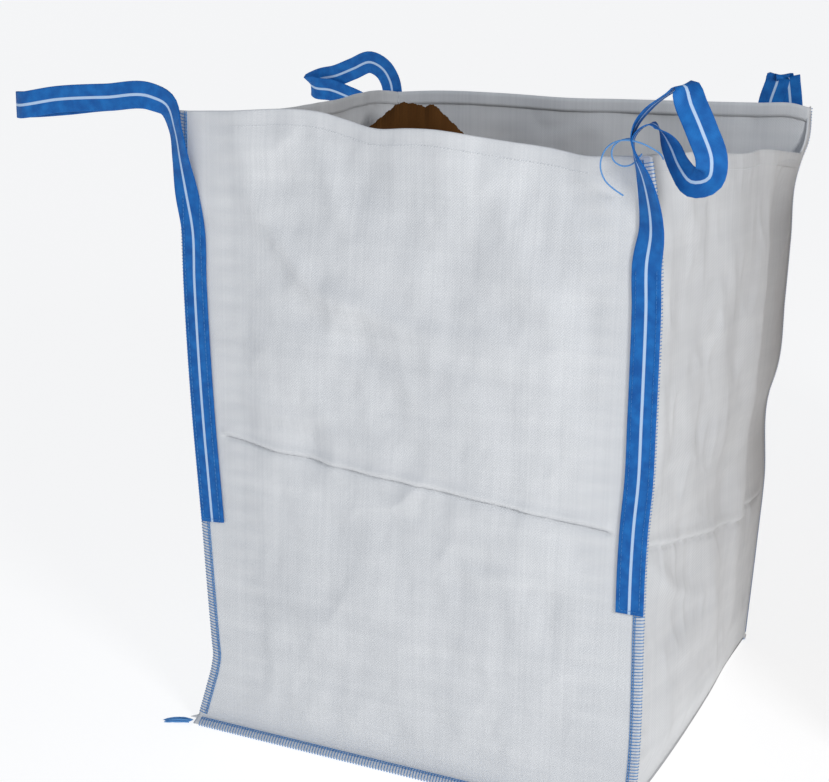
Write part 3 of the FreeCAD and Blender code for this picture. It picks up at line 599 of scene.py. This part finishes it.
web_paint, tree, shader = look("webbing_blue", {"Roughness": 0.6, "Specular IOR Level": 0.25})
ribs = bpy.data.node_groups.new("webbing", "ShaderNodeTree")
ribs.interface.new_socket("Color", in_out="OUTPUT", socket_type="NodeSocketColor")
ribs.interface.new_socket("Height", in_out="OUTPUT", socket_type="NodeSocketFloat")
ends = ribs.nodes.new("NodeGroupOutput")
metres = ribs.nodes.new("ShaderNodeTexCoord").outputs["UV"]
axes = joined(ribs, "ShaderNodeSeparateXYZ", {"Vector": metres})
aside = joined(ribs, "ShaderNodeMath", {0: axes.outputs["X"]}, operation="ABSOLUTE").outputs[0]
stripe = joined(ribs, "ShaderNodeMapRange", {"Value": aside, "From Min": 0.0021,
                                             "From Max": 0.0029, "To Min": 1.0, "To Max": 0.0})
skew = joined(ribs, "ShaderNodeMath", {0: axes.outputs["Y"], 1: aside}, operation="ADD")
turn = joined(ribs, "ShaderNodeMath", {0: skew.outputs[0], 1: 2 * math.pi / 0.0024},
              operation="MULTIPLY")
rib = joined(ribs, "ShaderNodeMath", {0: turn.outputs[0]}, operation="SINE").outputs[0]
grain = joined(ribs, "ShaderNodeTexNoise", {"Vector": metres, "Scale": 45.0, "Detail": 4.0})
uneven = joined(ribs, "ShaderNodeMath", {0: rib, 1: 0.18}, operation="MULTIPLY")
shade = joined(ribs, "ShaderNodeMath", {0: grain.outputs["Fac"], 1: uneven.outputs[0]},
               operation="ADD")
ramp = joined(ribs, "ShaderNodeValToRGB", {"Fac": shade.outputs[0]})
ramp.color_ramp.elements[0].position = 0.25
ramp.color_ramp.elements[0].color = (0.002, 0.080, 0.33, 1)
ramp.color_ramp.elements[1].position = 0.8
ramp.color_ramp.elements[1].color = (0.012, 0.185, 0.56, 1)
striped = between(ribs, stripe.outputs[0], ramp.outputs["Color"], (0.48, 0.64, 0.86, 1))
ribs.links.new(striped, ends.inputs["Color"])
ribs.links.new(rib, ends.inputs["Height"])
ribbed = tree.nodes.new("ShaderNodeGroup")
ribbed.node_tree = ribs
tree.links.new(ribbed.outputs["Color"], shader.inputs["Base Color"])
bump = joined(tree, "ShaderNodeBump", {"Height": ribbed.outputs["Height"], "Strength": 0.4,
                                       "Distance": 0.0003})
tree.links.new(bump.outputs["Normal"], shader.inputs["Normal"])


def webbing(name, stations, nodes):
    """Flat webbing through stations of place and direction across, in millimetres.

    Its ring of 22 points is carried along a smooth curve through the stations and turned to
    their directions, and both ends are closed.
    """
    stations = np.array(stations, float)
    middle, turned = stations[:, :3] / 1000, stations[:, 3:]
    turned = turned / np.linalg.norm(turned, axis=1, keepdims=True)
    length = np.concatenate([[0], np.cumsum(np.linalg.norm(np.diff(middle, axis=0), axis=1))])
    steps = [np.linspace(a, b, max(4, int((b - a) / 0.007)), endpoint=False)
             for a, b in zip(length, length[1:])]
    at = np.append(np.concatenate(steps), length[-1])
    path = np.stack([smooth(length, middle[:, k], at) for k in range(3)], -1)
    across = np.stack([smooth(length, turned[:, k], at) for k in range(3)], -1)
    heading = np.gradient(path, at, axis=0)
    heading /= np.linalg.norm(heading, axis=1, keepdims=True)
    across -= heading * np.sum(across * heading, axis=1, keepdims=True)
    across /= np.linalg.norm(across, axis=1, keepdims=True)
    facing = np.cross(heading, across)
    half, thin = WEB_WIDTH / 2, WEB_THICKNESS / 2
    side = half * np.array([-.98, -.9, -.6, -.3, -.06, .06, .3, .6, .9, .98, 1, .98, .9, .6, .3,
                            .06, -.06, -.3, -.6, -.9, -.98, -1])
    face = thin * np.array([-.9] + [-1] * 8 + [-.9, 0, .9] + [1] * 8 + [.9, 0])
    ring = (path[:, None] + across[:, None] * side[None, :, None]
            + facing[:, None] * face[None, :, None])
    flat = np.stack(np.broadcast_arrays(side[None], at[:, None]), -1)
    piece = surface(name, ring, flat, web_paint, closed=True)
    count = len(side)
    cap = bpy.data.meshes.new(name)
    faces = [tuple(face.vertices) for face in piece.data.polygons]
    faces += [tuple(range(count))[::-1], tuple(range(count * (len(at) - 1), count * len(at)))]
    cap.from_pydata(ring.reshape(-1, 3).tolist(), [], faces)
    corners = np.empty(len(cap.loops), int)
    cap.loops.foreach_get("vertex_index", corners)
    cap.uv_layers.new(name="flat").data.foreach_set(
        "uv", flat.reshape(-1, 2)[corners].astype(np.float32).ravel())
    cap.shade_smooth()
    cap.materials.append(web_paint)
    piece.data = cap
    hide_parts(*nodes)
    return piece


def leg(seam, shift, y, levels, tops):
    """Stations up a sewn leg beside its seam, then the leaning ones above."""
    return [(float(smooth(*seam, z / 1000)) * 1000 + shift, y, z, 1, 0, 0) for z in levels] + tops


# Front left: turned over the corner and reaching out level, flattened.
up = leg(seam_front_left, 6, -454.6, (430, 520, 600, 700, 800, 900, 1000),
         [(-446, -454.6, 1060, 1, 0, 0.05), (-456, -458, 1125, .9, -.35, 0.1),
          (-465, -460, 1180, .85, -.5, 0.15)])
down = [(x + 0.4, y + 2.1, z, a, b, c) for x, y, z, a, b, c in up][::-1]
loop = [(-13, 1, 14, .7, -.2, .7), (-44, 3, 26, -.05, 0, 1), (-141, 8, 21, 0, 0, 1),
        (-250, 12, 12, 0, 0, 1), (-342, 13.9, -3, 0, 0, 1), (-352, 5.9, -3, 0, 0, 1),
        (-342, -2.1, -3, 0, 0, 1), (-250, -2.1, 6, 0, 0, 1), (-141, -2.1, 20, 0, 0, 1),
        (-44, -2.1, 25, -.05, 0, 1), (-13, -2.1, 14, .7, -.2, .7)]
loop = [(-470 + x, -458.8 - y, 1210 + z, a, b, c) for x, y, z, a, b, c in loop]
piece = webbing("strap_front_left", up + loop + down,
                ("strap_front_left_inner_leg", "strap_front_left_outer_leg", "loop_front_left"))
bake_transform(piece)

# Front right: the neck turns edge on, the loop folds over and falls outside the corner.
up = leg(seam_front_right, -3, -454.6, (402, 480, 560, 640, 740, 840, 940, 1010),
         [(450, -464, 1070, .93, -.36, 0), (444, -470, 1120, .83, -.56, 0),
          (433, -474, 1160, .66, -.75, 0)])
down = [(x - 2.1 * b, y + 2.1 * a, z, a, b, c) for x, y, z, a, b, c in up][::-1]
rise = [(-1, 15, 8, .4, -.9, 0), (-8, 12, 34, .25, -1, 0), (-4, 6, 54, .1, -1, 0),
        (12, 2, 78, 0, -1, 0), (50, 3, 108, 0, -1, 0), (70, 5, 120, -.5, -.8, -.2),
        (86, 12, 92, -.89, -.31, -.33), (107, 16, 53, -.89, -.31, -.33),
        (126, 16, 4, -.93, -.2, -.3), (122, 10, -20, -.5, -.1, .85), (90, 0, -30, 0, 0, 1),
        (66, -8, -7, .5, -.4, .75), (50, -8, 24, .7, -.6, .35), (36, -4, 46, .5, -.85, 0),
        (22, 1, 57, 0, -1, 0), (8, 5, 52, .1, -1, 0), (-5, 12, 34, .2, -1, 0),
        (1, 14.3, 8, .4, -.9, 0)]
rise = [(420 + x, -458.8 - y, 1182 + z, a, b, c) for x, y, z, a, b, c in rise]
piece = webbing("strap_front_right", up + rise + down,
                ("strap_front_right_inner_leg", "strap_front_right_outer_leg",
                 "loop_front_right"))
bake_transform(piece)

# Back left: arches over outwards and comes back under itself.
up = leg(seam_back_left, 6, 454.6, (402, 480, 560, 640, 740, 840, 940, 1030),
         [(-465, 454.6, 1100, 1, 0, 0), (-477, 456.5, 1160, 1, 0, 0)])
down = [(x, y - 2.1, z, a, b, c) for x, y, z, a, b, c in up][::-1]
loop = [(-9, 0, 34, .95, 0, .25), (-24, 1, 55, .75, 0, .65), (-60, 3, 72, .05, 0, 1),
        (-108, 6, 55, -.4, 0, .9), (-155, 9, 37, -.3, 0, .95), (-208, 13.9, 24, -.35, 0, .95),
        (-222, 5.9, 15, -.35, 0, .95), (-208, -2.1, 8, -.25, 0, .95),
        (-165, -2.1, 4, -.2, 0, .95), (-110, -2.1, -12, -.3, 0, 1), (-50, -2.1, -30, .1, 0, 1),
        (-12, -2.1, -24, .9, 0, .5)]
loop = [(-480 + x, 458.8 + y, 1182 + z, a, b, c) for x, y, z, a, b, c in loop]
piece = webbing("strap_back_left", up + loop + down,
                ("strap_back_left_inner_leg", "strap_back_left_outer_leg", "loop_back_left"))
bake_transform(piece)

# Back right: a neck stands above the rim, then folds over and the loop hangs behind the bag.
up = leg(seam_back_right, -31, 454.6, (402, 480, 560, 640, 740, 840, 940, 1030),
         [(448, 454.6, 1120, 1, 0, 0), (447, 454.6, 1200, 1, 0, 0), (439, 454.8, 1250, 1, 0, 0)])
down = [(x - 44 * eased(z, 1030, 1200) + 22 * eased(z, 1200, 1260), y - 2.1, z, a, b, c)
        for x, y, z, a, b, c in up][::-1]
loop = [(8, -1.6, 4, 1, 0, 0), (6, 1, 4, 1, 0, 0), (4, 2.6, -6, 1, 0, 0), (2, 3, -140, 1, 0, 0),
        (4, 3, -270, 1, 0, 0), (4, 9, -280, 1, 0, 0), (4, 15, -270, 1, 0, 0),
        (2, 12, -140, 1, 0, 0), (-4, 5, -6, 1, 0, 0), (-7, 3, 7, 1, 0, 0),
        (-10, -2.5, 7, 1, 0, 0)]
loop = [(428 + x, 459 + y, 1258 + z, a, b, c) for x, y, z, a, b, c in loop]
piece = webbing("strap_back_right", up + loop + down,
                ("strap_back_right_inner_leg", "strap_back_right_outer_leg", "loop_back_right"))
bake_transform(piece)

# ---------------------------------------------------------------- overlock and sewing threads

# Blue thread laced round the edge of every seam, white thread along the hems, and rows of
# stitches that hold the webbing down. Each row is one mesh of equal short stitches.


def spaced(line, pitch, *others):
    """Points at equal steps along a line, with the same shares of the other lines."""
    length = np.concatenate([[0], np.cumsum(np.linalg.norm(np.diff(line, axis=0), axis=1))])
    at = np.arange(pitch / 2, length[-1], pitch)
    return [np.stack([np.interp(at, length, row[:, k]) for k in range(3)], -1)
            for row in (line, *others)]


def stitches(name, line, inner, facing, pitch, threads, radius, paint):
    """Equal stitches along a line. Each thread is a path of (inwards, out, along) places.

    A stitch is a ring of SIDES points carried along each path, and is set at every pitch.
    """
    at, inner, facing = spaced(line, pitch, inner, facing)
    inwards = inner - at
    inwards /= np.linalg.norm(inwards, axis=1, keepdims=True)
    along = np.gradient(at, axis=0)
    along /= np.linalg.norm(along, axis=1, keepdims=True)
    out = facing / np.linalg.norm(facing, axis=1, keepdims=True)
    places, faces = [], []
    for path in threads:
        path = np.array(path, float)
        heading = np.gradient(path, axis=0)
        heading /= np.linalg.norm(heading, axis=1, keepdims=True)
        first = np.cross(heading, (0.3, 0.2, 1.0))
        first /= np.linalg.norm(first, axis=1, keepdims=True)
        second = np.cross(heading, first)
        turn = np.arange(SIDES) * 2 * np.pi / SIDES
        ring = (path[:, None] + radius * (first[:, None] * np.cos(turn)[None, :, None]
                                          + second[:, None] * np.sin(turn)[None, :, None]))
        start = sum(len(p) for p in places)
        index = start + np.arange(len(path) * SIDES).reshape(-1, SIDES)
        index = np.hstack([index, index[:, :1]])
        quads = np.stack([index[:-1, :-1], index[:-1, 1:], index[1:, 1:], index[1:, :-1]], -1)
        faces += quads.reshape(-1, 4).tolist()
        faces += [index[0, SIDES - 1::-1].tolist(), index[-1, :SIDES].tolist()]
        places.append(ring.reshape(-1, 3))
    stitch = np.concatenate(places)
    whole = (at[:, None] + inwards[:, None] * stitch[None, :, :1]
             + out[:, None] * stitch[None, :, 1:2] + along[:, None] * stitch[None, :, 2:])
    steps = np.arange(len(at)) * len(stitch)
    kinds = [np.array([face for face in faces if len(face) == size]) for size in (4, SIDES)]
    made = [(kind[None] + steps[:, None, None]).reshape(-1, kind.shape[1]).tolist()
            for kind in kinds]
    mesh = bpy.data.meshes.new(name)
    mesh.from_pydata(whole.reshape(-1, 3).tolist(), [], made[0] + made[1])
    mesh.shade_smooth()
    mesh.materials.append(paint)
    piece = bpy.data.objects.new(name, mesh)
    bpy.context.collection.objects.link(piece)
    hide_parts(name)
    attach(piece, "root")
    return piece


# Overlock: over one face, round the edge and back on the other, with two lines of needle
# thread where the lacing ends.
REACH, LACE_PITCH, LACE_RADIUS = 0.018, 0.006, 0.00075
LACING = (
    ((REACH, .0007, -.0030), (.009, .0010, -.0016), (.002, .0009, -.0002), (-.0010, -.0006, .0002),
     (-.0010, -.0028, .0004), (.002, -.0042, .0006), (.009, -.0043, .0018), (REACH, -.0040, .0030)),
    ((REACH, .0010, -.0032), (REACH, .0014, 0), (REACH, .0010, .0032)),
    ((.0145, .0012, -.0032), (.0145, .0016, 0), (.0145, .0012, .0032)),
)
WHITE_ROW = (((0, 0, -.0022), (0, .0006, -.0012), (0, .0006, .0012), (0, 0, .0022)),)

white_paint, _, _ = look("thread_white", {"Base Color": (0.80, 0.82, 0.84, 1), "Roughness": 0.6})

for name, grid, column, way in (
        ("front_left", front, 0, -1), ("front_right", front, -1, -1),
        ("back_left", back, 0, 1), ("back_right", back, -1, 1)):
    line = grid[FLANGE_ROWS + 1:RIM_ROW, column]
    inner = grid[FLANGE_ROWS + 1:RIM_ROW, 4 if column == 0 else -5]
    turn = laid_back(line[:, 2]) if name == "back_right" else line[:, 2] * 0
    facing = np.stack([-np.sin(turn), way * np.cos(turn), turn * 0], -1)
    stitches(f"overlock_{name}", line, inner, facing, LACE_PITCH, LACING, LACE_RADIUS,
             thread_paint)

for name, grid, way in (("front", front, (0, -.42, .93)), ("right", right, (.42, 0, -.93)),
                        ("back", back, (0, .42, .93)), ("left", left, (-.42, 0, .93))):
    line, inner = grid[0, 2:-2], grid[4, 2:-2]
    stitches(f"overlock_base_{name}", line, inner, line * 0 + way, LACE_PITCH, LACING,
             LACE_RADIUS, thread_paint)

for name, grid, way in (("front", front, (0, -1, 0)), ("right", right, (1, 0, 0)),
                        ("back", back, (0, 1, 0)), ("left", left, (-1, 0, 0))):
    clear = 20 if name in ("front", "back") else 6
    columns = grid[FLANGE_ROWS:RIM_ROW, clear:-clear]
    share = 1 - HEM_LINE / (columns[-1, :, 2] - columns[0, :, 2])
    row = np.interp(share, RISE, np.arange(CLOTH_ROWS))
    low, part = row.astype(int), (row % 1)[:, None]
    across = np.arange(columns.shape[1])
    line = columns[low, across] * (1 - part) + columns[low + 1, across] * part
    stitches(f"hem_stitching_{name}", line, line + (0, 0, .01), line * 0 + way, 0.0065,
             WHITE_ROW, 0.0005, white_paint)

# Two rows and a cross row hold each pair of legs down, below where the straps start to lean.
LEG_FACE = 0.4556
SEWN_DOWN = (((0, .0002, -.0025), (0, .0009, -.0014), (0, .0009, .0014), (0, .0002, .0025)),)
seam_blue, _, _ = look("sewing_blue", {"Base Color": (0.10, 0.32, 0.66, 1), "Roughness": 0.6})
for name, seam, shift, way, foot, top in (
        ("front_left", seam_front_left, 6, -1, .436, 1.06),
        ("front_right", seam_front_right, -3, -1, .408, 1.0),
        ("back_left", seam_back_left, 6, 1, .408, 1.03),
        ("back_right", seam_back_right, -31, 1, .408, 1.03)):
    z = np.linspace(top, foot, 90)
    middle = smooth(*seam, z) + shift / 1000
    z = np.concatenate([z, [foot] * 8, z[::-1]])
    x = np.concatenate([middle - .018, middle[-1] + np.linspace(-.018, .018, 8),
                        middle[::-1] + .018])
    line = np.stack([x, x * 0 + way * LEG_FACE, z], -1)
    beside = np.stack([x * 0 + 0.3, line[:, 1], z * 0 + 0.3], -1)
    stitches(f"strap_{name}_stitching", line, beside, line * 0 + (0, way, 0), 0.008,
             SEWN_DOWN, 0.0006, seam_blue)

# ---------------------------------------------------------------- cardboard

# A folded sheet of brown board stands inside and holds the empty bag open: two liners with a
# fluted core, torn off unevenly along the flap. Its foot is on the folds of the base cloth.

FOOT, WING_TOP, PAPER = 0.0085, 1.08, 0.0004
FLUTE_PITCH, FLUTE_HEIGHT = 0.008, 0.0020

board_paint, tree, shader = look("cardboard", {"Roughness": 0.9, "Specular IOR Level": 0.1})
fibre = tree.nodes.new("ShaderNodeTexCoord").outputs["Object"]
drawn = joined(tree, "ShaderNodeMapping", {"Vector": fibre, "Scale": (30, 30, 5)})
noise = joined(tree, "ShaderNodeTexNoise", {"Vector": drawn.outputs[0], "Scale": 1.0,
                                            "Detail": 5.0})
ramp = joined(tree, "ShaderNodeValToRGB", {"Fac": noise.outputs["Fac"]})
ramp.color_ramp.elements[0].position = 0.3
ramp.color_ramp.elements[0].color = (0.085, 0.033, 0.008, 1)
ramp.color_ramp.elements[1].position = 0.7
ramp.color_ramp.elements[1].color = (0.125, 0.052, 0.013, 1)
tree.links.new(ramp.outputs["Color"], shader.inputs["Base Color"])


def board_top(x):
    """Height of the board's upper edge: shoulder, sloping ends of the flap and its torn top."""
    flap = np.interp(x, (-.4251, -.425, -.36, -.345, -.31, -.29, -.27, -.197, -.196),
                     (1.128, 1.128, 1.180, 1.187, 1.185, 1.180, 1.187, 1.128, 1.08))
    return flap + 0.0012 * np.sin(x * 310) * (x < -.2) + 0.0006 * np.sin(x * 900)


def core(middle, along):
    """Line of the fluted core: middle + FLUTE_HEIGHT * sin(2 pi along / FLUTE_PITCH)."""
    return middle + FLUTE_HEIGHT * np.sin(along * 2 * np.pi / FLUTE_PITCH)


def sheet_of_board(name, line, top):
    """An upright sheet along a line of (x, y), from its foot to a top height at each place."""
    line = np.asarray(line, float)
    share = np.array([0, .25, .5, .75, .9, .96, 1])[:, None]
    z = FOOT + share * (top - FOOT)[None]
    places = np.stack([np.broadcast_to(line[:, 0], z.shape), np.broadcast_to(line[:, 1], z.shape),
                       z], -1)
    return surface(name, places, places[..., [0, 2]], board_paint)


x = np.linspace(-.425, .150, 576)
front_liner = sheet_of_board("board_front_liner", np.stack([x, x * 0 + .2303], -1), board_top(x))
rear_liner = sheet_of_board("board_rear_liner", np.stack([x, x * 0 + .2347], -1), board_top(x))
flutes = sheet_of_board("board_flutes",
                        np.stack([x, core(.2325, x)], -1),
                        board_top(x) - .0008)
y = np.linspace(.2347, .420, 190)
wing_top = y * 0 + WING_TOP
wings = [sheet_of_board("board_wing_outer", np.stack([y * 0 + .1497, y], -1), wing_top),
         sheet_of_board("board_wing_inner", np.stack([y * 0 + .1453, y], -1), wing_top),
         sheet_of_board("board_wing_flutes",
                        np.stack([core(.1475, y), y], -1), wing_top)]
for piece in (front_liner, rear_liner, flutes, *wings):
    thick = piece.modifiers.new("paper", "SOLIDIFY")
    thick.thickness = PAPER
    thick.offset = 0
    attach(piece, "board")
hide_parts("cardboard_prop")
